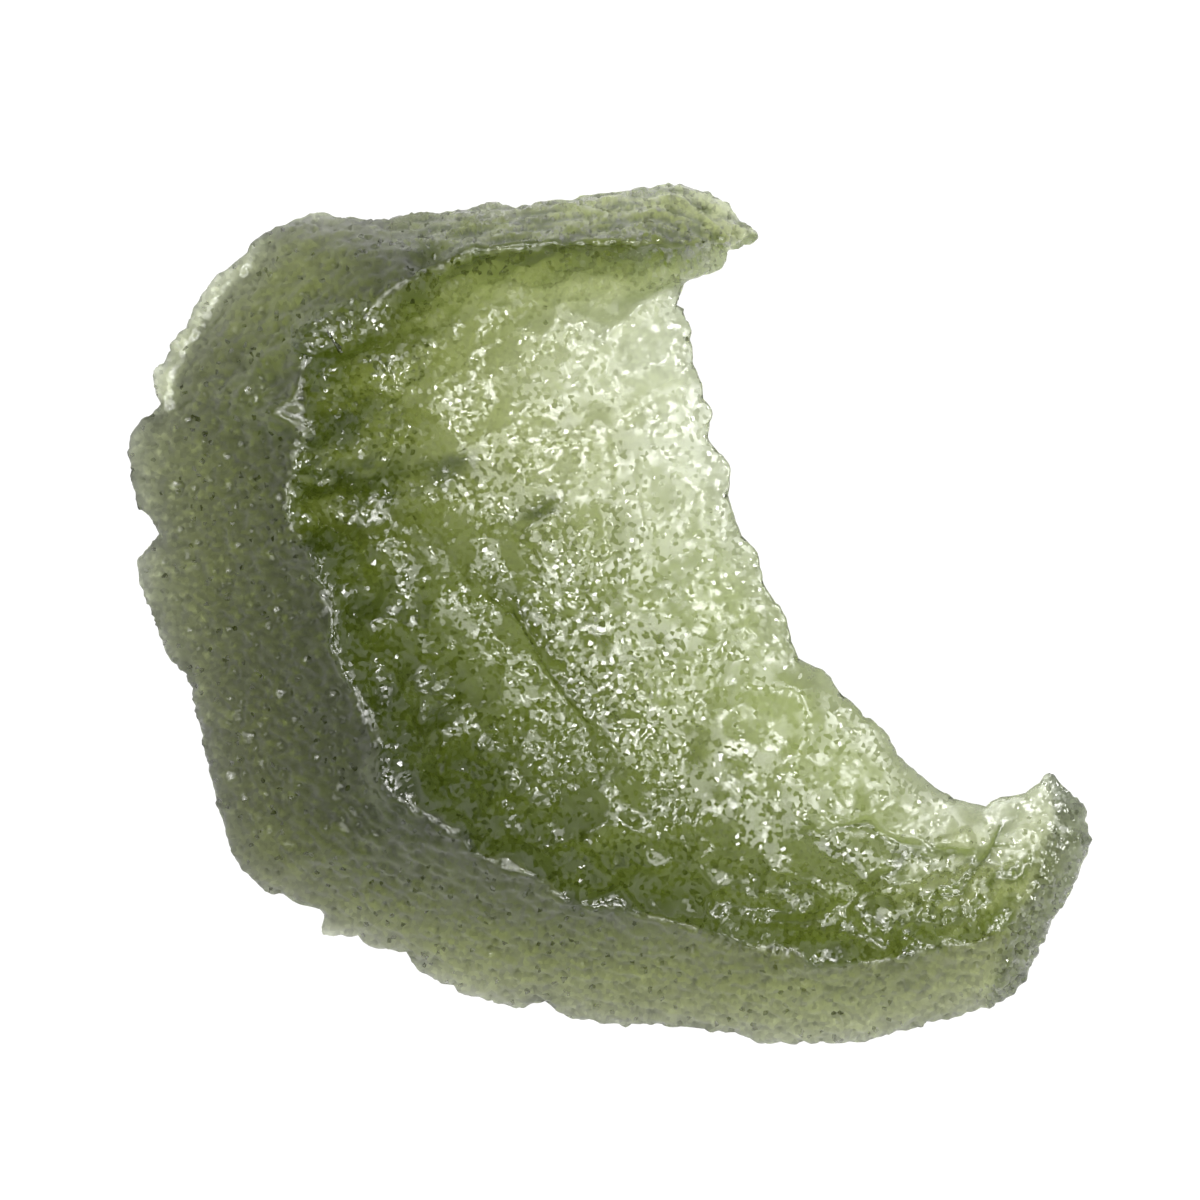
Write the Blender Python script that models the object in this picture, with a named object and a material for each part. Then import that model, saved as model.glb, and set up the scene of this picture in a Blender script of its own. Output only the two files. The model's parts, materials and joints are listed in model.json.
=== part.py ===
"""A crescent-shaped moldavite, a natural green glass, as one faceted solid.

The stone lies on its back with the hollow green face up. Seen from above it is a crescent, open to the
upper right. A broad dull rim climbs from the outer edge to a crest, and behind the crest the sculptured
green face falls away to a thin inner edge. A broken end closes the crescent at the lower right. The
underside swells down to a small flat spot, which the stone rests on.

Lengths are in millimetres until the mesh is made: +X right, +Y away, +Z up.
"""

import math

import bmesh
import bpy
import numpy as np
from mathutils import Vector, noise
from mathutils.geometry import delaunay_2d_cdt

MM = 0.001

# Spacing of the facets, and how far their corners are shaken off a regular lattice, as a share of it.
STEP_TOP = 0.48
STEP_UNDER = 0.85
EDGE_STEP = 0.50
LATTICE_SHAKE = 0.12
LATTICE_SHAKE_LENGTH = 0.32
LATTICE_SEEDS = (1.3, 4.7)

# The broken glass edge all round the stone.
EDGE_THICKNESS = 0.40
EDGE_ROUNDING = 0.55
EDGE_WANDER = 0.30
EDGE_WANDER_LENGTH = 2.2
LEAST_THICKNESS = 0.35

# The hollow face: how far it dips, and how wide the lip is that it leaves along the inner edge.
BOWL_DEPTH = 0.55
INNER_LIP = 1.6

# The underside: how far in from the outer edge and from the inner edge it swells down to its keel.
OUTER_REACH = 5.6
OUTER_SWELL = 1.7
INNER_REACH = 8.5
HULL_BLEND = 4.0
KEEL_LIFT = 1.0
KEEL_REACH = 6.5
FLAT_SPOT = (-4.0, -1.6)
FLAT_SPOT_DEPTH = 0.20
FLAT_SPOT_CLEAR = 3.2
FLAT_SPOT_FADE = 3.0

# The outer edge in plan, from the top horn round the left side to the broken end.
OUTER_EDGE = [
    (5.1, 12.6), (4.2, 13.6), (3.1, 14.3), (1.8, 14.5), (-3.1, 13.7), (-4.0, 13.9), (-4.7, 13.6),
    (-7.9, 13.2), (-9.9, 13.5), (-11.8, 12.7), (-12.5, 11.8), (-13.3, 11.3), (-14.1, 10.2),
    (-14.2, 9.6), (-14.7, 9.3), (-14.9, 8.5), (-15.3, 8.2), (-15.3, 7.4), (-15.0, 7.0), (-16.1, 6.2),
    (-16.2, 5.5), (-15.9, 3.5), (-15.1, 2.7), (-15.9, 1.7), (-15.8, 1.2), (-14.9, -1.5), (-14.2, -2.1),
    (-12.7, -8.0), (-11.9, -9.1), (-9.7, -9.9), (-9.7, -10.7), (-9.4, -10.9), (-8.5, -10.9),
    (-8.0, -11.3), (-6.8, -11.3), (-6.6, -11.9), (-4.9, -12.9), (-3.0, -13.3), (-2.2, -13.0),
    (-1.7, -13.5), (0.3, -13.9), (2.6, -13.9), (5.5, -14.5), (8.7, -14.4), (12.5, -13.3),
    (13.3, -13.0),
]

# The flat facets of the dull rim: a point on each, the heading that it climbs in and its slope in degrees.
FACETS = [
    ((3.8, 13.6, 3.0), -124.0, 65.0),
    ((-4.0, 14.1, 2.3), -85.0, 69.0),
    ((-12.5, 11.8, 3.5), -38.0, 45.0),
    ((-16.0, 6.5, 3.2), 6.8, 40.5),
    ((-7.5, -11.2, 3.3), 71.5, 55.0),
    ((2.6, -13.9, 2.5), 85.0, 54.0),
    ((11.0, -13.6, 2.4), 104.0, 53.0),
]
FACET_BLEND = 3.0

# The edge of the broken end, from the outer edge to the tip of the lower horn.
BROKEN_EDGE = [
    (13.3, -13.0, 2.4), (14.1, -12.0, 2.4), (15.15, -9.9, 2.6), (16.2, -7.8, 3.0), (15.9, -6.3, 3.6),
    (14.8, -5.2, 4.4),
]

# The inner edge, from the lower horn through the bay to the top horn.
INNER_EDGE = [
    (14.8, -5.2, 4.4), (14.5, -5.1, 4.4), (13.8, -5.9, 4.0), (12.7, -6.0, 3.8), (12.5, -6.3, 3.8),
    (11.0, -5.8, 3.8), (9.7, -4.6, 3.8), (9.4, -3.9, 3.8), (7.8, -2.6, 3.9), (7.4, -1.8, 3.9),
    (6.4, -1.4, 3.9), (5.9, 0.1, 4.0), (5.2, 1.1, 4.0), (5.1, 2.1, 4.0), (4.5, 2.7, 4.0),
    (4.1, 4.0, 3.9), (4.2, 4.9, 3.8), (3.4, 5.9, 3.7), (3.6, 6.8, 3.6), (3.2, 7.2, 3.5),
    (3.3, 7.6, 3.4), (2.9, 8.3, 3.2), (2.8, 9.6, 3.0), (2.4, 10.3, 2.8), (2.6, 11.0, 2.8),
    (3.6, 11.3, 2.8), (4.1, 11.8, 2.8), (4.0, 12.1, 2.9), (4.9, 12.2, 3.1), (5.1, 12.6, 3.2),
]

# The crest between the dull rim and the green face, from the top horn to the broken end: x, y, and the
# distance over which the green face falls away behind it.
CREST = [
    (4.9, 12.5, 0.4), (3.0, 12.1, 0.6), (-0.3, 12.1, 0.8), (-3.0, 12.1, 0.9), (-4.7, 11.9, 1.1),
    (-6.0, 11.4, 1.5), (-7.2, 10.4, 2.2), (-9.8, 9.9, 3.0), (-10.3, 9.0, 3.4), (-10.1, 7.6, 3.6),
    (-9.9, 6.1, 3.8), (-10.7, 4.1, 4.2), (-10.3, 2.5, 4.4), (-9.3, 0.8, 4.4), (-9.0, -1.4, 4.4),
    (-8.1, -3.0, 4.3), (-7.5, -4.5, 4.1), (-7.2, -6.1, 3.8), (-5.7, -6.5, 3.6), (-4.5, -7.8, 3.3),
    (-2.2, -8.6, 3.0), (-1.3, -9.5, 2.8), (1.7, -9.9, 2.6), (5.0, -11.0, 2.4), (6.0, -10.9, 2.3),
    (6.8, -11.7, 2.2), (9.7, -11.3, 2.2), (12.5, -10.7, 2.2), (15.15, -9.9, 2.2),
]

# The broken end is a rough facet that cuts down through the crest.
BROKEN_SLOPE = math.radians(60.0)
BROKEN_ROUGHNESS = 0.5
BROKEN_GRAIN = 0.9
BROKEN_FROM = 3.0

# A chip out of the upper left edge, which leaves a thin lip: its line, its width, how deep it cuts, and how
# far the lip stands above and below the stone's edge.
CHIP_EDGE = [(-12.4, 11.9), (-13.3, 11.3), (-14.1, 10.2), (-14.8, 9.0), (-15.3, 8.0), (-15.1, 7.2)]
CHIP_WIDTH = 1.2
CHIP_DEPTH = 0.75
LIP_ABOVE = 0.25
LIP_BELOW = 0.10

# Folds and lumps on the front: x, y, length, width, turn in degrees, height.
FOLDS = [
    (-8.6, 9.35, 3.6, 1.5, 11.0, 0.95),
    (-9.6, 8.0, 2.2, 1.0, 20.0, 0.45),
    (-6.65, -5.1, 2.4, 2.0, 60.0, 0.70),
    (-9.5, 1.9, 1.9, 0.8, -12.0, 0.50),
    (6.9, -11.2, 2.2, 1.1, 12.0, 0.45),
    (9.9, -11.0, 1.9, 0.9, 20.0, 0.35),
]
LUMPS = [
    (-12.4, 7.1, 1.5, 1.1, 0.0, 0.45),
    (-11.0, 6.6, 1.3, 1.0, 0.0, 0.40),
    (-1.3, -9.1, 1.4, 0.9, -10.0, 0.35),
    (0.2, -9.3, 1.4, 0.9, -15.0, 0.35),
    (-8.1, 6.0, 2.2, 1.5, 80.0, 0.40),
    (-8.9, 4.4, 1.6, 1.2, 30.0, 0.35),
    (-5.3, 9.2, 2.4, 1.2, 15.0, 0.25),
]
HOLLOWS = [
    (-9.3, 3.3, 1.7, 1.3, 10.0, 0.95),
    (-5.95, 11.7, 1.5, 0.8, 25.0, 0.70),
    (-2.3, 3.0, 1.9, 1.1, 30.0, 0.30),
    (-8.2, -0.2, 1.4, 1.0, 100.0, 0.45),
    (-5.4, -4.3, 1.6, 1.1, 60.0, 0.40),
    (5.9, -10.2, 1.5, 0.9, 30.0, 0.45),
    (12.9, -8.6, 1.7, 1.3, 60.0, 0.35),
    (-12.2, 0.9, 1.6, 1.2, 70.0, 0.20),
]

# Ledges and creases of the flowed glass, each a line on the front with the step in height across it.
LEDGES = [
    ([(4.6, -10.2), (6.2, -10.0), (7.5, -9.3), (8.6, -9.2)], 0.45, 1.1),
    ([(2.2, -6.4), (4.4, -7.0), (6.2, -7.1), (8.8, -6.7), (10.4, -6.9)], 0.40, 1.3),
    ([(8.8, -9.0), (10.4, -8.5), (12.0, -7.5), (13.2, -6.5), (13.6, -6.0)], 0.45, 1.2),
    ([(10.6, -10.3), (12.2, -9.6), (13.5, -8.3), (14.2, -6.9)], 0.35, 1.0),
    ([(-4.6, 0.2), (-3.6, -1.4), (-2.4, -2.9), (-1.2, -4.4)], 0.40, 1.2),
    ([(-5.6, -1.8), (-4.8, -3.6), (-3.4, -5.2), (-1.4, -6.4)], 0.35, 1.2),
    ([(-7.4, 7.2), (-7.0, 5.4), (-7.6, 3.6), (-7.2, 1.6)], 0.35, 1.1),
    ([(-6.4, 10.2), (-3.6, 10.9), (-0.6, 10.9), (1.8, 11.2)], 0.30, 1.0),
]

LEDGE_SOFTNESS = 0.22
LEDGE_END = 1.2

# Scallops etched into the glass: cell size and depth, on each surface, and how far the relief keeps off the
# edge. The seeds set where the cells and the wandering of the edges fall.
CALM_BORDER = 1.2
UNDER_CALM_BORDER = 2.0
FACE_SEED, RIM_SEED, UNDER_SEED, EDGE_SEED, BROKEN_SEED = 2.5, 5.5, 9.5, 7.3, 3.1
FACE_SCALLOPS = [(2.3, 0.22), (1.25, 0.13)]
RIM_SCALLOPS = [(2.6, 0.10)]
UNDER_SCALLOPS = [(4.2, 0.34), (2.1, 0.15)]


def resampled(points, step):
    """The polyline's points at an even spacing, with its corners kept."""
    made = []
    for start, end in zip(points[:-1], points[1:]):
        start, end = np.array(start, float), np.array(end, float)
        pieces = max(1, round(np.linalg.norm((end - start)[:2]) / step))
        made += [start + (end - start) * k / pieces for k in range(pieces)]
    return np.array(made + [np.array(points[-1], float)])


def facet_height(where):
    """The flat facets of the rim, softly joined where they meet."""
    total = np.zeros(len(where))
    for (x, y, z), heading, slope in FACETS:
        turn = math.radians(heading)
        run = (where[:, 0] - x) * math.cos(turn) + (where[:, 1] - y) * math.sin(turn)
        total += np.exp(-FACET_BLEND * (z + run * math.tan(math.radians(slope))))
    return -np.log(total) / FACET_BLEND


OUTER_PLAN = resampled(OUTER_EDGE, EDGE_STEP)
OUTER = np.column_stack([OUTER_PLAN, facet_height(OUTER_PLAN)])
BROKEN = resampled(BROKEN_EDGE, EDGE_STEP)
INNER = resampled(INNER_EDGE, EDGE_STEP)
CREST_LINE = resampled(CREST, EDGE_STEP)
CREST_SMOOTHING = 5
CREST_HEIGHT = np.convolve(
    np.pad(facet_height(CREST_LINE), CREST_SMOOTHING // 2, "edge"),
    np.full(CREST_SMOOTHING, 1.0 / CREST_SMOOTHING),
    "valid",
)
EDGE = np.vstack([OUTER[:-1], BROKEN[:-1], INNER[:-1]])
OUTLINE = EDGE[:, :2]
CLOSED_OUTLINE = np.vstack([OUTLINE, OUTLINE[:1]])
FACE_OUTLINE = np.vstack([CREST_LINE[:, :2], np.array(BROKEN_EDGE)[3:-1, :2], INNER[:, :2]])


def smooth_step(value):
    value = np.clip(value, 0.0, 1.0)
    return value * value * (3.0 - 2.0 * value)


def distance_to(line, where):
    """The distance in plan from each point to a polyline."""
    best = np.full(len(where), np.inf)
    for start, end in zip(line[:-1, :2], line[1:, :2]):
        along = end - start
        share = ((where - start) @ along) / max(along @ along, 1e-9)
        nearest = start + np.clip(share, 0, 1)[:, None] * along
        best = np.minimum(best, np.linalg.norm(where - nearest, axis=1))
    return best


def side_of(line, where):
    """+1 or -1 by the side of a polyline that each point lies on."""
    best = np.full(len(where), np.inf)
    side = np.ones(len(where))
    for start, end in zip(line[:-1], line[1:]):
        along = end - start
        share = np.clip(((where - start) @ along) / (along @ along), 0, 1)
        away = where - (start + share[:, None] * along)
        gap = np.linalg.norm(away, axis=1)
        turn = np.sign(along[0] * away[:, 1] - along[1] * away[:, 0])
        side = np.where(gap < best, turn, side)
        best = np.minimum(best, gap)
    return side


def carried(line, values, where, sharpness=3.0):
    """A value held along a line, carried smoothly to each point by nearness."""
    nearest = 0.02
    gap = np.linalg.norm(where[:, None, :] - line[None, :, :2], axis=2)
    weight = 1.0 / (gap**sharpness + nearest)
    return (weight * values).sum(1) / weight.sum(1)


def inside(loop, where):
    """True for each point inside a closed outline."""
    x, y = where[:, 0], where[:, 1]
    crossings = np.zeros(len(where), int)
    for (x1, y1), (x2, y2) in zip(loop, np.roll(loop, -1, axis=0)):
        spans = (y1 > y) != (y2 > y)
        reach = x1 + (y - y1) * (x2 - x1) / np.where(y2 == y1, 1e-9, y2 - y1)
        crossings += spans & (x < reach)
    return crossings % 2 == 1


def own_frame(where, x, y, turn):
    """Each point's place along and across a turned feature."""
    cos, sin = math.cos(math.radians(turn)), math.sin(math.radians(turn))
    dx, dy = where[:, 0] - x, where[:, 1] - y
    return dx * cos + dy * sin, dy * cos - dx * sin


def lump(where, x, y, length, width, turn, height):
    """A rounded swelling, or with a negative height a dimple."""
    steepness = 1.2
    along, across = own_frame(where, x, y, turn)
    reach = (2.0 * along / length) ** 2 + (2.0 * across / width) ** 2
    return height * np.exp(-steepness * reach)


def fold(where, x, y, length, width, turn, height):
    """A roll of glass with a round back and steep sides."""
    end = 2.2
    along, across = own_frame(where, x, y, turn)
    back = np.sqrt(np.clip(1.0 - (2.0 * across / width) ** 2, 0, 1))
    return height * back * smooth_step(end * (1.0 - 2.0 * np.abs(along) / length))


def ledge(where, line, height, reach):
    """A step across a line that dies away to both sides and towards its ends."""
    line = np.array(line)
    away = distance_to(line, where)
    end = np.minimum(
        np.linalg.norm(where - line[0], axis=1),
        np.linalg.norm(where - line[-1], axis=1),
    )
    step = np.tanh(side_of(line, where) * away / LEDGE_SOFTNESS)
    return 0.5 * height * step * np.exp(-away / reach) * smooth_step(end / LEDGE_END)


def scallops(where, cells, seed):
    """Shallow dishes that meet in sharp ridges, as etching leaves them in natural glass."""
    curve, level = 3.0, 0.55
    total = np.zeros(len(where))
    for size, depth in cells:
        for i, (x, y) in enumerate(where):
            place = Vector((x / size, y / size, seed))
            total[i] += depth * (curve * noise.voronoi(place)[0][0] ** 2 - level)
    return total


def wander(where, size, seed):
    return np.array([noise.noise(Vector((x / size, y / size, seed))) for x, y in where])


def edge_height(where):
    """The height of the stone's edge, which the front and the underside share."""
    level = carried(EDGE, EDGE[:, 2], where, 4.0)
    return level + EDGE_WANDER * wander(where, EDGE_WANDER_LENGTH, EDGE_SEED)


def chipped(where):
    """1 where the edge is chipped, and 0 away from the chip."""
    steepness = 3.5
    return smooth_step(steepness * (1.0 - distance_to(np.array(CHIP_EDGE), where) / CHIP_WIDTH))


def rim_height(where):
    """The dull rim, with the chip out of its upper left edge."""
    height = facet_height(where)
    lip = np.minimum(height, edge_height(where) + LIP_ABOVE)
    return np.maximum(height - CHIP_DEPTH * chipped(where), lip)


def face_height(where):
    """The green face: it falls from the crest, hollows, and ends at the thin inner edge."""
    kept_at_edge = 0.2
    crest = carried(CREST_LINE, CREST_HEIGHT, where)
    fall = carried(CREST_LINE, CREST_LINE[:, 2], where)
    level = carried(INNER, INNER[:, 2], where, 2.0)
    away, edge = distance_to(CREST_LINE, where), distance_to(INNER, where)
    share = away / (away + edge + 1e-6)
    bowl = BOWL_DEPTH * 4.0 * share * (1.0 - share)
    lip = smooth_step(edge / INNER_LIP + kept_at_edge)
    return level - bowl + (crest - level) * np.exp(-away / fall) * lip


def front_height(where):
    """The whole front, with its folds, lumps, hollows, ledges and scallops."""
    on_face = inside(FACE_OUTLINE, where)
    height = np.where(on_face, face_height(where), rim_height(where))
    for feature in FOLDS:
        height += fold(where, *feature)
    for feature in LUMPS:
        height += lump(where, *feature)
    for *place, depth in HOLLOWS:
        height += lump(where, *place, -depth)
    clear = smooth_step(distance_to(CLOSED_OUTLINE, where) / CALM_BORDER)
    for line, step, reach in LEDGES:
        height += clear * ledge(where, line, step, reach)
    etched = np.where(
        on_face,
        scallops(where, FACE_SCALLOPS, FACE_SEED),
        scallops(where, RIM_SCALLOPS, RIM_SEED),
    )
    height += clear * etched
    broken = carried(BROKEN, BROKEN[:, 2], where) + math.tan(BROKEN_SLOPE) * distance_to(BROKEN, where)
    rough = BROKEN_ROUGHNESS * wander(where, BROKEN_GRAIN, BROKEN_SEED)
    return np.minimum(height, broken + rough * smooth_step(broken - BROKEN_FROM))


def under_height(where):
    """The underside: a swelling hull, scalloped all over but for the flat spot."""
    straight = 0.75
    out = np.minimum(distance_to(OUTER, where), distance_to(BROKEN, where))
    edge = distance_to(INNER, where)
    outer_hull = np.clip(1.0 - out / OUTER_REACH, 0, 1) ** OUTER_SWELL
    inner_share = np.clip(edge / INNER_REACH, 0, 1)
    inner_hull = 1.0 - straight * inner_share - (1.0 - straight) * smooth_step(inner_share)
    hull = np.minimum((outer_hull**HULL_BLEND + inner_hull**HULL_BLEND) ** (1.0 / HULL_BLEND), 1.0)
    far = np.linalg.norm(where - np.array(FLAT_SPOT), axis=1)
    keel = KEEL_LIFT * (1.0 - np.exp(-((far / KEEL_REACH) ** 2)))
    level = edge_height(where)
    height = level * hull + (1.0 - hull) * (keel - FLAT_SPOT_DEPTH)
    clear = smooth_step((far - FLAT_SPOT_CLEAR) / FLAT_SPOT_FADE)
    clear *= smooth_step(np.minimum(out, edge) / UNDER_CALM_BORDER)
    height += clear * scallops(where, UNDER_SCALLOPS, UNDER_SEED)
    height += chipped(where) * np.maximum(level - LIP_BELOW - height, 0.0)
    return np.maximum(height, 0.0)


def rounding(where):
    """How far both faces stand off the edge's middle, so that the edge isn't a knife."""
    share = 1.0 - np.clip(distance_to(CLOSED_OUTLINE, where) / EDGE_ROUNDING, 0, 1)
    return 0.5 * EDGE_THICKNESS * np.sqrt(1.0 - share**2)


def under(where):
    return np.maximum(under_height(where) - rounding(where), 0.0)


def front(where):
    return np.maximum(front_height(where) + rounding(where), under(where) + LEAST_THICKNESS)


def lattice(step):
    """Points on a slightly shaken triangular lattice, all inside the outline and clear of it."""
    low, high = OUTLINE.min(0), OUTLINE.max(0)
    row = step * math.sqrt(3) / 2
    points = []
    for j in range(int((high[1] - low[1]) / row) + 1):
        for i in range(int((high[0] - low[0]) / step) + 1):
            points.append((low[0] + (i + 0.5 * (j % 2)) * step, low[1] + j * row))
    points = np.array(points)
    shake = [wander(points, LATTICE_SHAKE_LENGTH, seed) for seed in LATTICE_SEEDS]
    points += LATTICE_SHAKE * step * np.column_stack(shake)
    clear = distance_to(CLOSED_OUTLINE, points) > 0.5 * step
    return points[inside(OUTLINE, points) & clear]


def sheet(step, height, line=None):
    """Triangles over the whole outline, lifted to a height, with vertices along the given line."""
    off_edge, off_line = 0.4 * step, 0.55 * step
    inner = lattice(step)
    if line is not None:
        line = line[1:-1, :2]
        line = line[(distance_to(CLOSED_OUTLINE, line) > off_edge) & inside(OUTLINE, line)]
        apart = distance_to(line, inner) > off_line
        inner = np.vstack([inner[apart], line])
    plan = [Vector(p) for p in np.vstack([OUTLINE, inner])]
    made = delaunay_2d_cdt(plan, [], [list(range(len(OUTLINE)))], 1, 1e-6)
    points = np.array([tuple(v) for v in made[0]])
    on_edge = distance_to(CLOSED_OUTLINE, points) < 1e-4
    tall = np.where(on_edge, edge_height(points), height(points))
    return np.column_stack([points, tall]), [tuple(f) for f in made[2]]


def glass():
    """Bottle-green natural glass, satin where it is etched."""
    material = bpy.data.materials.new("moldavite glass")
    material.use_nodes = True
    shader = material.node_tree.nodes["Principled BSDF"]
    shader.inputs["Base Color"].default_value = (0.16, 0.21, 0.07, 1.0)
    shader.inputs["Roughness"].default_value = 0.3
    shader.inputs["Metallic"].default_value = 0.0
    return material


def moldavite():
    """The front and the underside, joined along the stone's edge."""
    mesh = bmesh.new()
    for turned, (points, faces) in (
        (False, sheet(STEP_TOP, front, CREST_LINE)),
        (True, sheet(STEP_UNDER, under)),
    ):
        verts = [mesh.verts.new(p * MM) for p in points]
        for face in faces:
            corners = [verts[i] for i in face]
            mesh.faces.new(corners[::-1] if turned else corners)
    bmesh.ops.remove_doubles(mesh, verts=mesh.verts, dist=1e-6)
    bmesh.ops.recalc_face_normals(mesh, faces=mesh.faces)
    data = bpy.data.meshes.new("moldavite")
    mesh.to_mesh(data)
    mesh.free()
    data.materials.append(glass())
    stone = bpy.data.objects.new("moldavite", data)
    bpy.context.scene.collection.objects.link(stone)
    return stone


for old in list(bpy.data.objects):
    bpy.data.objects.remove(old)
moldavite()
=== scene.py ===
import json
import math

import bpy
import numpy as np
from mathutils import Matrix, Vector, noise
from mathutils.bvhtree import BVHTree

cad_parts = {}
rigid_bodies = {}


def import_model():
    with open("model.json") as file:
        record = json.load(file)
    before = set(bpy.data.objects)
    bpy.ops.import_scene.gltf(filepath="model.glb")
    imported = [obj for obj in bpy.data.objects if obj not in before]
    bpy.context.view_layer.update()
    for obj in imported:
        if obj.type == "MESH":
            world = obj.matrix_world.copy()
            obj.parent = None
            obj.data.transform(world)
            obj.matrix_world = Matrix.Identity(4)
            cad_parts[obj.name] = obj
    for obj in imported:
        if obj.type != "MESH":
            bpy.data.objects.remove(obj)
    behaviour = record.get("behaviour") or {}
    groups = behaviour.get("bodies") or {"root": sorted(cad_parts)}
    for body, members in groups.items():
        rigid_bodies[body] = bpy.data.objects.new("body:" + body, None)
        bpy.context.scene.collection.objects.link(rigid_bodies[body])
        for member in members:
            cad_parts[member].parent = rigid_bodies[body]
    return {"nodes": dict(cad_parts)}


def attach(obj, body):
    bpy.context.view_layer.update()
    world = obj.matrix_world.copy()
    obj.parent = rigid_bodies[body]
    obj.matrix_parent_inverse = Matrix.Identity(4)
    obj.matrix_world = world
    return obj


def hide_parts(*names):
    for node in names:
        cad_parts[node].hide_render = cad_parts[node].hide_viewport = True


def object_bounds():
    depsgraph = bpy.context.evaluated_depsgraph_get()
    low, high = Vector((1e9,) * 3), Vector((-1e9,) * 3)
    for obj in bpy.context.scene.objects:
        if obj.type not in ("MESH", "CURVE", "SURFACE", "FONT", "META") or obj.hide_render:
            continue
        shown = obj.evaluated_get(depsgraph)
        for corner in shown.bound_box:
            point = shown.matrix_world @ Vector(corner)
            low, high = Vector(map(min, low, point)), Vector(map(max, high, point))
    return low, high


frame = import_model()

cad_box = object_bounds()

# The stone: one shard of moldavite, a bottle-green natural glass. Burial etched its outer skin to a dull
# rim of fine pits. The hollow face behind the crest is glossier, with dimples, flow lines and ledges, and
# the lower right end is a fresh break.
MM = 0.001

# The lines that part its zones, seen from above, in millimetres.
CREST = [
    (4.9, 12.5), (3.0, 12.1), (-0.3, 12.1), (-3.0, 12.1), (-4.7, 11.9), (-6.0, 11.4), (-7.2, 10.4),
    (-9.8, 9.9), (-10.3, 9.0), (-10.1, 7.6), (-9.9, 6.1), (-10.7, 4.1), (-10.3, 2.5), (-9.3, 0.8),
    (-9.0, -1.4), (-8.1, -3.0), (-7.5, -4.5), (-7.2, -6.1), (-5.7, -6.5), (-4.5, -7.8), (-2.2, -8.6),
    (-1.3, -9.5), (1.7, -9.9), (5.0, -11.0), (6.0, -10.9), (6.8, -11.7), (9.7, -11.3), (12.5, -10.7),
    (15.15, -9.9),
]
OPEN_SIDE = [(22.0, -8.0), (22.0, 14.0)]
BREAK_BORDER = [(12.5, -12.6), (13.0, -10.9), (13.7, -9.5), (14.2, -8.2), (14.7, -6.7), (14.5, -5.4)]
BREAK_OUTSIDE = [(15.0, -3.5), (20.0, -6.0), (20.0, -14.0), (13.0, -14.5)]
INNER_EDGE = [
    (2.7, 10.8), (2.8, 9.1), (3.4, 7.1), (4.2, 4.1), (4.5, 2.3), (5.2, 1.0), (6.0, -0.9), (7.3, -2.5),
    (9.0, -4.2), (10.7, -5.7),
]
CHIP = [(-12.2, 12.1), (-13.3, 11.3), (-14.1, 10.2), (-14.6, 9.2), (-15.1, 8.2), (-15.1, 7.3)]

# It starts as a copy of its solid.
MERGE, FLAT_SPOT_RIM = 0.002 * MM, 0.15 * MM
bpy.ops.object.select_all(action="DESELECT")
solid = frame["nodes"]["moldavite"]
solid.select_set(True)
bpy.context.view_layer.objects.active = solid
bpy.ops.object.duplicate()
stone = bpy.context.view_layer.objects.active
stone.name = "moldavite_glass"
bpy.ops.object.parent_clear(type="CLEAR_KEEP_TRANSFORM")
bpy.ops.object.mode_set(mode="EDIT")
bpy.ops.mesh.select_all(action="SELECT")
bpy.ops.mesh.remove_doubles(threshold=MERGE)
bpy.ops.object.mode_set(mode="OBJECT")

# The underside is eased between its flat spot and the outline, because its facets would show through the
# glass.
upper = {corner for face in stone.data.polygons if face.normal.z > 0.0 for corner in face.vertices}
below = stone.vertex_groups.new(name="below")
for vertex in stone.data.vertices:
    if vertex.index not in upper and vertex.co.z > FLAT_SPOT_RIM:
        below.add([vertex.index], 1.0, "REPLACE")
worn = stone.modifiers.new("worn", "SMOOTH")
worn.factor = 0.5
worn.iterations = 8
worn.vertex_group = "below"
bpy.ops.object.modifier_apply(modifier="worn")
finer = stone.modifiers.new("finer", "SUBSURF")
finer.levels = 2
finer.render_levels = 2
bpy.ops.object.modifier_apply(modifier="finer")


def smooth_step(value):
    value = np.clip(value, 0.0, 1.0)
    return value * value * (3.0 - 2.0 * value)


def line_sides(line, plan):
    """Each point's distance to a line in plan, and +1 or -1 by the side that it lies on."""
    best = np.full(len(plan), np.inf)
    side = np.ones(len(plan))
    for start, end in zip(np.array(line[:-1]), np.array(line[1:])):
        along = end - start
        share = np.clip(((plan - start) @ along) / (along @ along), 0, 1)
        away = plan - start - share[:, None] * along
        gap = np.linalg.norm(away, axis=1)
        turn = np.where(along[0] * away[:, 1] - along[1] * away[:, 0] < 0, -1.0, 1.0)
        side = np.where(gap < best, turn, side)
        best = np.minimum(best, gap)
    return best, side


def inside(loop, plan):
    """Whether each point lies inside a closed outline."""
    x, y = plan[:, 0], plan[:, 1]
    crossings = np.zeros(len(plan), int)
    for (x1, y1), (x2, y2) in zip(loop, loop[1:] + loop[:1]):
        spans = (y1 > y) != (y2 > y)
        reach = x1 + (y - y1) * (x2 - x1) / (y2 - y1 if y2 != y1 else 1e-9)
        crossings += spans & (x < reach)
    return crossings % 2 == 1


def within(loop, border, plan, soft):
    """1 inside a closed outline and 0 outside it, softly across the line that is its border."""
    side = np.where(inside(loop, plan), 1.0, -1.0)
    return smooth_step(0.5 + 0.5 * side * line_sides(border, plan)[0] / soft)


def grain(places, size, seed, stretch=(1.0, 1.0, 1.0)):
    """Smooth noise of a grain size in millimetres, from about -1 to 1."""
    x, y, z = (places / size * stretch).T
    return np.array([noise.noise(Vector(p)) for p in zip(x + seed, y, z)])


def cells(places, size, seed):
    """The distance to the nearest of many scattered points, 0 to about 1 of the cell size."""
    x, y, z = (places / size).T
    return np.array([noise.voronoi(Vector(p))[0][0] for p in zip(x + seed, y, z)])


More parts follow.
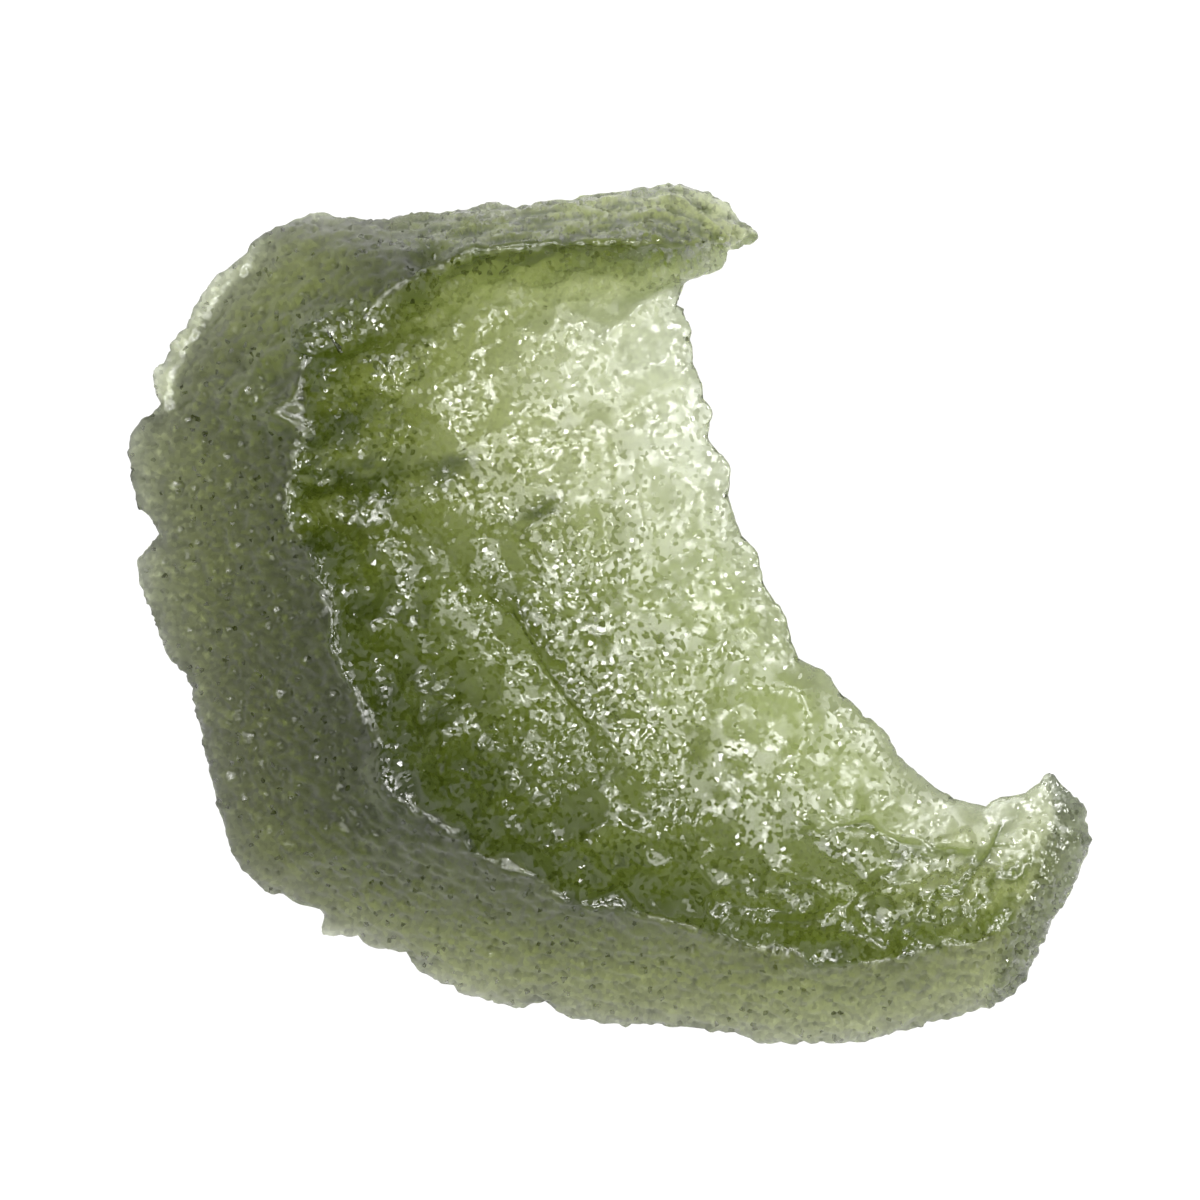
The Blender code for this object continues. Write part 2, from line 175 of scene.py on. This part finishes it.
points = np.zeros(len(stone.data.vertices) * 3)
stone.data.vertices.foreach_get("co", points)
points = points.reshape(-1, 3) / MM
normals = np.zeros(len(points) * 3)
stone.data.vertices.foreach_get("normal", normals)
normals = normals.reshape(-1, 3)
plan = points[:, :2]

# The zones of its surface, each a share from 0 to 1. The crest wanders, and each border is a little soft.
WANDER, WANDER_LENGTH = 0.30, 0.8
CREST_BORDER, BREAK_SOFTNESS, CHIP_WIDTH = 0.15, 0.25, 0.55
front = smooth_step((normals[:, 2] + 0.05) / 0.15)
wandering = [grain(points, WANDER_LENGTH, seed=5.0), grain(points, WANDER_LENGTH, seed=6.0)]
shaken = plan + WANDER * np.column_stack(wandering)
on_face = within(CREST + OPEN_SIDE, CREST, shaken, CREST_BORDER)
on_break = within(BREAK_BORDER + BREAK_OUTSIDE, BREAK_BORDER, plan, BREAK_SOFTNESS) * front
chip = smooth_step(1.6 - line_sides(CHIP, plan)[0] / CHIP_WIDTH) * front
face = front * on_face * (1.0 - on_break)
rim = front * (1.0 - on_face) * (1.0 - on_break)
under = 1.0 - front
worn_edge = face * smooth_step((1.0 - line_sides(INNER_EDGE, shaken)[0]) / 0.5)
edge = 1.0 - smooth_step(np.abs(normals[:, 2]) / 0.45)

# The glass flowed along lines that lean up to the right at the top and down to the right below.
LEAN_TOP, LEAN_LOW = 0.17, -0.70
flow_lean = LEAN_LOW + (LEAN_TOP - LEAN_LOW) * smooth_step((plan[:, 1] + 8.0) / 16.0)
across_flow = plan[:, 1] - (plan[:, 0] - 3.0) * flow_lean
along_flow = plan[:, 0] + plan[:, 1] * flow_lean
flow = np.column_stack([along_flow, across_flow, points[:, 2]])

# How thick the glass is under each point, so that the relief never cuts through it, and how nearly parallel
# its far side is. A steep wedge of glass has a calmer skin, which keeps it clear.
THICKEST, RAY_START = 9.0, 0.01
body = BVHTree.FromObject(stone, bpy.context.evaluated_depsgraph_get())
thick = np.full(len(points), THICKEST)
parallel = np.ones(len(points))
for i, (place, normal) in enumerate(zip(points * MM, normals)):
    hit = body.ray_cast(Vector(place - normal * RAY_START * MM), Vector(-normal))
    if hit[3] is not None:
        thick[i] = hit[3] / MM
        parallel[i] = -hit[1].dot(Vector(normal))

# Ledges where one sheet of flowed glass ends on the next: a line in plan, and the height of the step. The
# foot of each is painted a darker green, a painted shade.
LEDGE_EDGE, LEDGE_REACH, LEDGE_END, LEDGE_SHADE_REACH, LEDGE_SHARE = 0.07, 0.7, 0.6, 0.22, 0.8
LEDGES = [
    ([(8.55, -8.97), (8.92, -8.57), (9.58, -8.33), (10.0, -7.8), (10.3, -8.0), (11.0, -8.0)], 0.26),
    ([(10.45, -9.67), (10.98, -9.2), (11.5, -9.13), (11.98, -8.5), (12.4, -8.0), (13.15, -6.6)], 0.26),
    ([(12.4, -9.27), (12.75, -8.63), (13.4, -8.63), (13.9, -8.27)], 0.22),
    ([(7.65, -9.97), (8.6, -10.5), (9.75, -10.7), (10.6, -10.3)], 0.24),
    ([(7.0, -7.1), (8.3, -6.9), (8.7, -6.8), (9.1, -7.4), (10.1, -7.6), (11.0, -7.7), (12.3, -7.7)], 0.24),
    ([(3.15, -9.7), (4.3, -9.9), (5.6, -10.1), (6.55, -10.0), (7.5, -9.7)], 0.26),
    ([(6.15, -7.2), (7.45, -8.3), (8.5, -9.0)], -0.30),
    ([(-4.3, 0.8), (-3.0, -0.25), (-2.2, -1.7), (-1.35, -2.95), (-0.4, -4.0)], -0.28),
]
ledges, ledge_foot_shade = np.zeros(len(points)), np.zeros(len(points))
for line, height in LEDGES:
    gap, side = line_sides(line, plan)
    ends = np.minimum(np.linalg.norm(plan - line[0], axis=1), np.linalg.norm(plan - line[-1], axis=1))
    step = np.tanh(side * gap / LEDGE_EDGE) * np.exp(-gap / LEDGE_REACH) * smooth_step(ends / LEDGE_END)
    ledges += LEDGE_SHARE * height * step
    # A painted shade along the foot, on the low side of each step.
    foot_shade = np.exp(-gap / LEDGE_SHADE_REACH) * smooth_step(ends / LEDGE_END) * (side * height < 0)
    ledge_foot_shade = np.maximum(ledge_foot_shade, foot_shade)

# Rolls and blobs of glass on the face and the rim: x, y, length, width, turn in degrees and height.
BLOBS = [
    (-8.6, 9.3, 3.4, 1.2, 11, 0.80), (-6.65, -5.1, 2.3, 2.0, 60, 0.40), (-9.35, 3.6, 1.5, 0.6, -8, -0.45),
    (-9.5, 2.5, 1.6, 0.6, -12, 0.30), (-2.3, 3.0, 1.7, 0.8, 30, -0.30), (-5.95, 11.75, 1.2, 0.5, 25, -0.40),
    (-12.0, 7.3, 1.2, 0.9, 10, 0.30), (-10.9, 6.7, 1.3, 1.0, -10, 0.30), (-11.3, 8.3, 0.9, 0.8, 0, 0.22),
    (-1.3, -9.05, 1.2, 0.8, -15, 0.30), (0.15, -9.2, 1.1, 0.8, 0, 0.30), (7.35, -10.9, 1.5, 0.8, 15, 0.30),
    (9.85, -10.85, 1.3, 0.8, 20, 0.28), (-7.6, 5.1, 2.2, 1.6, 70, 0.30), (-9.0, 6.9, 1.6, 1.3, 20, 0.30),
    (-8.8, 5.0, 1.3, 1.1, 0, 0.25), (-5.6, 5.6, 1.8, 1.4, 40, 0.22), (-8.2, 0.6, 1.5, 1.2, 60, 0.28),
    (-7.4, -2.2, 1.4, 1.1, 70, 0.28), (-5.6, -3.9, 1.2, 0.9, 60, -0.30),
    (-2.7, -0.3, 2.7, 0.45, -56, -0.34),
]


def dome(plan, x, y, length, width, turn):
    """A rounded swelling, 1 at its middle and flat-topped."""
    cos, sin = math.cos(math.radians(turn)), math.sin(math.radians(turn))
    lengthwise = (plan[:, 0] - x) * cos + (plan[:, 1] - y) * sin
    crosswise = (plan[:, 1] - y) * cos - (plan[:, 0] - x) * sin
    return np.exp(-1.4 * np.hypot((2 * lengthwise / length) ** 2, (2 * crosswise / width) ** 2))


# Each blob shines on its upper side, and a crease on its lower side is painted a deeper green as painted
# shade; a dent the reverse.
CREASE_SHIFT, TOP_SHIFT, CREASE_STRENGTH = 0.35, 0.6, 1.6
blobs, crease_shades, tops = np.zeros(len(points)), np.zeros(len(points)), np.zeros(len(points))
for *place, height in BLOBS:
    width = place[3]
    swelling = dome(plan, *place)
    shift = np.array([0.0, math.copysign(CREASE_SHIFT * width, height)])
    blobs += height * swelling
    crease_shade = CREASE_STRENGTH * (dome(plan + shift, *place) - swelling)
    top = CREASE_STRENGTH * (dome(plan - TOP_SHIFT * shift, *place) - swelling)
    crease_shades = np.maximum(crease_shades, np.clip(crease_shade, 0.0, 1.0))
    tops = np.maximum(tops, np.clip(top, 0.0, 1.0))

# Where its skin is calm, lumpy or thin, and where the rim is a band of fibres along the top.
from_crest = line_sides(CREST, plan)[0]
calm = 1.0 - 0.85 * smooth_step((0.93 - parallel) / 0.13) * smooth_step((from_crest - 1.5) / 2.0)
lumpy = smooth_step((5.0 - from_crest) / 3.5)
thin = smooth_step((3.4 - thick) / 2.4)
band = rim * smooth_step((plan[:, 1] - 11.6) / 0.8) * smooth_step((plan[:, 0] + 8.0) / 2.0)

# The relief of the rim: etch pits, some larger bubbles, ripples, and the fibres of the band. The light specks
# are no relief, only painted glints in its colour. Each has its spacing and its height in millimetres, and
# what is round fills a share of its spacing.
PITS, PIT_SHARE, PIT_DEPTH = 0.42, 0.42, 0.13
BUBBLES, BUBBLE_SHARE, BUBBLE_DEPTH = 1.7, 0.22, 0.16
SPECKS, SPECK_SHARE = 0.60, 0.26
RIPPLES, RIPPLE_HEIGHT = 0.36, 0.11
FIBRES, FIBRE_HEIGHT = 0.9, 0.22
# The pits are also painted near black in the colour, a painted shade.
pits = smooth_step(1.0 - cells(points, PITS, seed=3.0) / PIT_SHARE)
bubbles = smooth_step(1.0 - cells(points, BUBBLES, seed=7.0) / BUBBLE_SHARE)
speck_glints = smooth_step(1.0 - cells(points, SPECKS, seed=15.0) / SPECK_SHARE)
fibres = cells(points * (0.55, 1.7, 1.7), FIBRES, seed=13.0)
rim_relief = (
    -PIT_DEPTH * (1.0 - band) * pits
    - BUBBLE_DEPTH * bubbles
    + FIBRE_HEIGHT * band * (fibres**2 - 0.3)
    + RIPPLE_HEIGHT * grain(flow, RIPPLES, seed=11.0, stretch=(0.45, 1.0, 1.0))
    + blobs
)

# The relief of the face: lumps near the crest, and elsewhere dimples and beads. Streaks follow the flow,
# and some patches are rough.
LUMPS, LUMP_HEIGHT = 1.5, 0.55
SMALL_LUMPS, SMALL_LUMP_HEIGHT = 0.75, 0.22
DIMPLES, DIMPLE_DEPTH = 1.5, 0.16
BEADS, BEAD_HEIGHT = 0.62, 0.05
STREAKS, STREAK_HEIGHT = 0.34, 0.07
PATCHES, ROUGHNESS_GRAIN, ROUGHNESS_HEIGHT = 2.4, 0.26, 0.11
LUMP_LEVEL, DIMPLE_LEVEL = 0.35, 0.3
lumps = LUMP_HEIGHT * (LUMP_LEVEL - cells(points, LUMPS, seed=17.0) ** 2)
small_lumps = SMALL_LUMP_HEIGHT * (LUMP_LEVEL - cells(points, SMALL_LUMPS, seed=19.0) ** 2)
dimples = DIMPLE_DEPTH * (cells(flow, DIMPLES, seed=21.0) ** 2 - DIMPLE_LEVEL)
beads = BEAD_HEIGHT * (LUMP_LEVEL - cells(points, BEADS, seed=25.0) ** 2)
rough_patch = smooth_step(0.5 + 1.6 * grain(flow, PATCHES, seed=31.0, stretch=(0.6, 1.0, 1.0)))
streaks = grain(flow, STREAKS, seed=35.0, stretch=(0.22, 1.0, 0.5))
streaky = (1.0 - 0.5 * rough_patch) * (1.0 - 0.6 * lumpy) * (1.0 - 0.5 * thin)
rough = (1.0 - 0.85 * thin) * rough_patch
face_relief = (
    lumpy * (lumps + small_lumps)
    + (1.0 - lumpy) * (dimples + beads)
    + STREAK_HEIGHT * streaky * streaks
    + ROUGHNESS_HEIGHT * rough * grain(points, ROUGHNESS_GRAIN, seed=51.0)
    + ledges
    + blobs
)

# The relief of the break, the underside and the toothed edges. The last two have none near the floor, so that
# the stone still rests on its flat spot. All of it stays within a share of the glass's thickness.
BREAK_LUMPS, BREAK_LUMP_HEIGHT = 0.7, 0.20
BREAK_GRAINS, BREAK_GRAIN_HEIGHT = 0.28, 0.12
SCALLOPS, SCALLOP_DEPTH = 1.3, 0.14
UNDER_GRAINS, UNDER_GRAIN_HEIGHT = 0.45, 0.07
UNDER_DENTS, UNDER_DENT_SHARE, UNDER_DENT_DEPTH = 0.7, 0.6, 0.08
TEETH, TOOTH_HEIGHT = 0.5, 0.09
FINE_TEETH, FINE_TOOTH_HEIGHT = 0.25, 0.04
SMOOTH_BELOW, MOST_OF_THICKNESS = 0.6, 0.33
break_relief = (
    BREAK_LUMP_HEIGHT * grain(points, BREAK_LUMPS, seed=61.0)
    + BREAK_GRAIN_HEIGHT * grain(points, BREAK_GRAINS, seed=71.0)
)
under_relief = (1.0 - 0.7 * thin) * (
    SCALLOP_DEPTH * (cells(points, SCALLOPS, seed=81.0) ** 2 - DIMPLE_LEVEL)
    + UNDER_GRAIN_HEIGHT * grain(points, UNDER_GRAINS, seed=91.0)
    - UNDER_DENT_DEPTH * smooth_step(1.0 - cells(points, UNDER_DENTS, seed=95.0) / UNDER_DENT_SHARE)
)
serration = (
    TOOTH_HEIGHT * grain(points, TEETH, seed=101.0)
    + FINE_TOOTH_HEIGHT * grain(points, FINE_TEETH, seed=105.0)
)
off_floor = smooth_step(points[:, 2] / SMOOTH_BELOW)
relief = rim * rim_relief + face * calm * face_relief + on_break * break_relief
relief += under * off_floor * under_relief
relief += edge * off_floor * (1.0 - 0.7 * on_face) * serration
limit = MOST_OF_THICKNESS * thick
relief = limit * np.tanh(relief / limit)
points += normals * relief[:, None]
low, high = np.array(cad_box[0]) / MM, np.array(cad_box[1]) / MM
points = np.clip(points, low, high)
stone.data.vertices.foreach_set("co", (points * MM).ravel())
stone.data.polygons.foreach_set("use_smooth", np.ones(len(stone.data.polygons), bool))
stone.data.update()

# Where the skin is etched to a sparkle: the sides of the lumps that look up the stone, and rough patches.
# The other sides are smooth and clear. The sparkle is the share of the skin's grains that glint, and the tilt
# is how far they lean.
UP_THE_STONE = (-0.34, 0.94)
leaning = np.zeros(len(points) * 3)
stone.data.vertices.foreach_get("normal", leaning)
leaning = leaning.reshape(-1, 3) - normals
shone = smooth_step(0.5 + 1.5 * (UP_THE_STONE[1] * leaning[:, 1] + UP_THE_STONE[0] * leaning[:, 0]))
etched = np.clip(0.9 * shone + 0.5 * rough_patch + 0.9 * tops - 0.2, 0.0, 1.0)
# The hollows of the face are painted a darker green, a painted shade.
hollow_shade = smooth_step(-relief / 0.20)
# The ridges of the band's fibres are painted lighter and the cells between them darker, as painted highlight
# and shade.
ridge = smooth_step((fibres - 0.42) / 0.22)
sparkle = 0.25 + 0.60 * etched
for share, amount in (
    (thin, 0.03 + 0.27 * etched), (rim, 0.04), (band, 0.05 + 0.55 * ridge), (on_break, 0.8), (under, 0.0),
    (edge * on_face, 1.0), (worn_edge, 0.5),
):
    sparkle += share * (amount - sparkle)
tilt = 0.9 * (0.4 + 0.6 * calm)
for share, amount in ((rim, 0.8), (on_break, 1.1), (under, 0.3), (edge * on_face, 1.6)):
    tilt += share * (amount - tilt)

# Where the rim is clearer, so that the green shows through it: x, y and the two radii of each window.
WINDOWS = [
    (-3.6, -10.9, 3.6, 1.6), (6.3, -12.6, 2.6, 0.9), (-10.6, 10.6, 2.2, 2.0), (-4.5, -12.0, 1.4, 0.8),
    (-8.5, -9.2, 3.6, 2.0), (-0.5, -10.9, 4.0, 1.8),
]
window = np.zeros(len(points))
for x, y, wide, tall in WINDOWS:
    window = np.maximum(window, np.exp(-(((plan[:, 0] - x) / wide) ** 2 + ((plan[:, 1] - y) / tall) ** 2)))
dull = rim * (1.0 - 0.45 * window)

# The rim is painted darkest halfway down its left side, a painted shade, and lighter along the bottom, a
# painted reflection. The face is a fuller green low down and deepest beside the crest, and a painted shade of
# deeper green lies on the lower sides of its lumps, in the creases and at the feet of the ledges.
rim_left_shade = rim * np.exp(-(((plan[:, 0] + 11.0) / 3.0) ** 2) - ((plan[:, 1] + 3.0) / 5.0) ** 2)
rim_bottom_reflection = rim * smooth_step((-6.5 - plan[:, 1]) / 2.5)
green = face * (0.32 + 0.63 * smooth_step((6.0 - plan[:, 1]) / 6.0))
green *= 1.0 - 0.7 * smooth_step((plan[:, 0] - 8.0) / 4.0)
low_face = smooth_step((8.0 - from_crest) / 5.0) * smooth_step((-1.0 - plan[:, 1]) / 5.0)
low_face *= 1.0 - smooth_step((plan[:, 0] - 8.0) / 4.0)
# The sides of the lumps that do not look up the stone get a painted shade of deeper green.
deep_green_and_shade = 0.5 * low_face + (0.25 + 0.75 * lumpy) * (1.0 - shone)
deep_green_and_shade *= 1.0 - 0.6 * smooth_step((plan[:, 1] - 6.0) / 3.0) * smooth_step((from_crest - 1.0) / 2.0)
deep_green_and_shade = face * (deep_green_and_shade + 0.5 * smooth_step((1.4 - from_crest) / 1.2)) + crease_shades + 0.9 * ledge_foot_shade
deep_green_and_shade = np.clip(deep_green_and_shade, 0.0, 1.0)


def linear(hex_colour):
    """An sRGB hex colour as linear red, green and blue, with an alpha of 1."""
    channels = [int(hex_colour[i:i + 2], 16) / 255 for i in (0, 2, 4)]
    return [c / 12.92 if c <= 0.04045 else ((c + 0.055) / 1.055) ** 2.4 for c in channels] + [1.0]


# The colour, the roughness and the unevenness of shade of its skin, zone by zone, over the clear glass of
# the face. The grains' shades vary by the speckle.
# The rim's hollows are painted darker, a painted shade, and its ridges lighter, a painted highlight.
rim_hollow_shade = (rim - band) * smooth_step(-relief / 0.10)
rim_ridge_highlight = (rim - band) * smooth_step(relief / 0.08)
tint = np.tile(linear("E4E8D8"), (len(points), 1))
# Painted light in this list: the dark pits, hollows, creases, ledge feet, left rim and band cells are painted
# shade; the pale specks, rim ridges and band fibres are painted highlights and glints; the lighter bottom of
# the rim is a painted reflection.
for share, colour in (
    (green, "8B9A55"), (dull, "64675A"), (0.6 * rim_bottom_reflection, "A0A290"), (0.5 * rim_left_shade, "404238"),
    (band, "7C8656"), (0.8 * band * (1.0 - ridge), "465226"), (0.8 * band * ridge, "D8DCC4"),
    (rim * pits, "262B18"), (0.8 * rim * speck_glints, "E6EAD8"), (on_break, "585E50"), (under, "E6EBD8"),
    (deep_green_and_shade, "66743A"), (0.7 * crease_shades * front, "3C481E"), (0.45 * worn_edge, "8E9478"), (chip, "EEF2E4"),
    (0.6 * face * hollow_shade, "4E5828"), (0.55 * rim_hollow_shade, "484C3A"), (0.45 * rim_ridge_highlight, "C8CCB8"),
):
    tint += share[:, None] * (np.array(linear(colour)) - tint)
gloss = 0.22 + 0.10 * etched
for share, roughness in ((rim, 0.30), (band, 0.22), (on_break, 0.22), (under, 0.75)):
    gloss += share * (roughness - gloss)
gloss += edge * on_face * (0.6 - gloss)
speckle = 0.25 - 0.12 * thin + 0.55 * rim + 0.60 * on_break
stone.data.attributes.new("tint", "FLOAT_COLOR", "POINT").data.foreach_set("color", tint.ravel())
for name, value in (("gloss", gloss), ("tilt", tilt), ("sparkle", sparkle - 0.5), ("speckle", speckle)):
    stone.data.attributes.new(name, "FLOAT", "POINT").data.foreach_set("value", value)


def add(tree, kind, settings=None):
    """A node with its settings: a socket is linked, and any other value is set."""
    node = tree.nodes.new(kind)
    for name, value in (settings or {}).items():
        if isinstance(value, bpy.types.NodeSocket):
            tree.links.new(value, node.inputs[name])
        elif isinstance(name, int) or name in node.inputs:
            node.inputs[name].default_value = value
        else:
            setattr(node, name, value)
    return node


# Moldavite, a natural glass: clear bottle green in depth, so thin edges are pale and thick parts dark.
# Acids in the ground etched its skin, which dulls the rim and makes the face sparkle.
glass = bpy.data.materials.new("moldavite_natural_glass")
glass.use_nodes = True
tree = glass.node_tree
shader = tree.nodes["Principled BSDF"]
shader.inputs["IOR"].default_value = 1.49
shader.inputs["Transmission Weight"].default_value = 1.0
depth = add(tree, "ShaderNodeVolumeAbsorption", {"Color": linear("CBD17E"), "Density": 600.0})
tree.links.new(depth.outputs[0], tree.nodes["Material Output"].inputs["Volume"])
place = add(tree, "ShaderNodeTexCoord").outputs["Object"]
skin = {
    name: add(tree, "ShaderNodeAttribute", {"attribute_name": name}).outputs
    for name in ("tint", "gloss", "tilt", "sparkle", "speckle")
}

# Each etched grain is a tiny flat facet with a lean and a shade of its own. Most lean little, and some are
# smoother and lean far, which catch the lamps as glints. A grain's chance runs from -0.5 to 0.5.
GRAIN, QUIET_LEAN, GLINT_ROUGHNESS = 1 / (0.14 * MM), 0.15, 0.5
grains = add(tree, "ShaderNodeTexVoronoi", {"voronoi_dimensions": "2D", "Vector": place, "Scale": GRAIN})
facet = add(tree, "ShaderNodeVectorMath", {
    "operation": "SUBTRACT", 0: grains.outputs["Color"], 1: (0.5, 0.5, 0.5)}).outputs[0]
chance = add(tree, "ShaderNodeSeparateXYZ", {"Vector": facet}).outputs["Z"]
shade = add(tree, "ShaderNodeMath", {
    "operation": "MULTIPLY_ADD", 0: chance, 1: skin["speckle"]["Fac"], 2: 1.0}).outputs[0]
shade = add(tree, "ShaderNodeVectorMath", {
    "operation": "SCALE", 0: skin["tint"]["Color"], "Scale": shade}).outputs[0]
tree.links.new(shade, shader.inputs["Base Color"])
glint = add(tree, "ShaderNodeMath", {
    "operation": "LESS_THAN", 0: chance, 1: skin["sparkle"]["Fac"]}).outputs[0]
sheen = add(tree, "ShaderNodeMath", {
    "operation": "MULTIPLY_ADD", 0: glint, 1: GLINT_ROUGHNESS - 1.0, 2: 1.0}).outputs[0]
sheen = add(tree, "ShaderNodeMath", {"operation": "MULTIPLY", 0: sheen, 1: skin["gloss"]["Fac"]}).outputs[0]
tree.links.new(sheen, shader.inputs["Roughness"])
lean = add(tree, "ShaderNodeMath", {
    "operation": "MULTIPLY_ADD", 0: glint, 1: 1.0 - QUIET_LEAN, 2: QUIET_LEAN}).outputs[0]
lean = add(tree, "ShaderNodeMath", {"operation": "MULTIPLY", 0: lean, 1: skin["tilt"]["Fac"]}).outputs[0]
facet = add(tree, "ShaderNodeVectorMath", {"operation": "SCALE", 0: facet, "Scale": lean}).outputs[0]
facing = add(tree, "ShaderNodeNewGeometry").outputs["Normal"]
facet = add(tree, "ShaderNodeVectorMath", {"operation": "ADD", 0: facing, 1: facet}).outputs[0]
facet = add(tree, "ShaderNodeVectorMath", {"operation": "NORMALIZE", 0: facet}).outputs[0]
tree.links.new(facet, shader.inputs["Normal"])
stone.data.materials.clear()
stone.data.materials.append(glass)
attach(stone, "root")
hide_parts("moldavite")

# The floor is the top of a light table: white opal plastic, lit from behind so evenly that no shadow shows.
# It lies a hair below the stone.
FLOOR_WIDTH, FLOOR_GAP = 3.0, 0.2 * MM
bpy.ops.mesh.primitive_plane_add(size=FLOOR_WIDTH, location=(0, 0, -FLOOR_GAP))
floor = bpy.context.object
floor.name = "floor"
opal = bpy.data.materials.new("opal_light_table")
opal.use_nodes = True
opal_shader = opal.node_tree.nodes["Principled BSDF"]
opal_shader.inputs["Base Color"].default_value = linear("000000")
opal_shader.inputs["Roughness"].default_value = 0.6
opal_shader.inputs["Emission Color"].default_value = linear("FFFFFF")
opal_shader.inputs["Emission Strength"].default_value = 1.0
floor.data.materials.append(opal)

# Four soft boxes hang round the table, the strongest beyond it, with four smaller, brighter lamps between
# them: heading and height above the table in degrees, width in metres and power in watts.
LAMP_REACH = 0.35
LAMPS = [
    (110, 45, 0.22, 0.95), (20, 48, 0.22, 0.65), (200, 52, 0.22, 0.55), (285, 33, 0.22, 0.40),
    (65, 60, 0.11, 0.90), (155, 62, 0.11, 0.90), (245, 58, 0.11, 0.90), (335, 62, 0.11, 0.90),
]
for heading, climb, width, watts in LAMPS:
    turn, rise = math.radians(heading), math.radians(climb)
    reach = LAMP_REACH * math.cos(rise)
    spot = (reach * math.cos(turn), reach * math.sin(turn), LAMP_REACH * math.sin(rise))
    bpy.ops.object.light_add(type="AREA", location=spot)
    lamp = bpy.context.object
    lamp.data.shape = "DISK"
    lamp.data.size = width
    lamp.data.energy = watts
    lamp.rotation_euler = lamp.location.to_track_quat("Z", "Y").to_euler()

# The room is white near the horizon and dim overhead, where the camera looks in.
world = bpy.data.worlds.new("white_walls")
bpy.context.scene.world = world
world.use_nodes = True
walls = world.node_tree
facing = add(walls, "ShaderNodeTexCoord").outputs["Generated"]
upward = add(walls, "ShaderNodeSeparateXYZ", {"Vector": facing}).outputs["Z"]
glow = add(walls, "ShaderNodeMapRange", {
    "Value": upward, "From Min": 0.05, "From Max": 0.65, "To Min": 1.2, "To Max": 0.10,
    "interpolation_type": "SMOOTHSTEP"}).outputs[0]
walls.nodes["Background"].inputs["Color"].default_value = linear("F3F3F0")
walls.links.new(glow, walls.nodes["Background"].inputs["Strength"])
bpy.context.scene.view_settings.view_transform = "Standard"

# The camera looks straight down, with a long lens that frames 40 mm at the height of the stone's outline.
FRAME_WIDTH = 40.0 * MM
VIEW_CENTRE = (-0.32 * MM, 0.47 * MM, 3.2 * MM)
camera_data = bpy.data.cameras.new("camera")
camera_data.lens = 300.0
camera_data.sensor_width = 36.0
distance = FRAME_WIDTH * camera_data.lens / camera_data.sensor_width
camera = bpy.data.objects.new("camera", camera_data)
camera.location = (VIEW_CENTRE[0], VIEW_CENTRE[1], VIEW_CENTRE[2] + distance)
camera_data.clip_start = 0.01
bpy.context.scene.collection.objects.link(camera)
bpy.context.scene.camera = camera
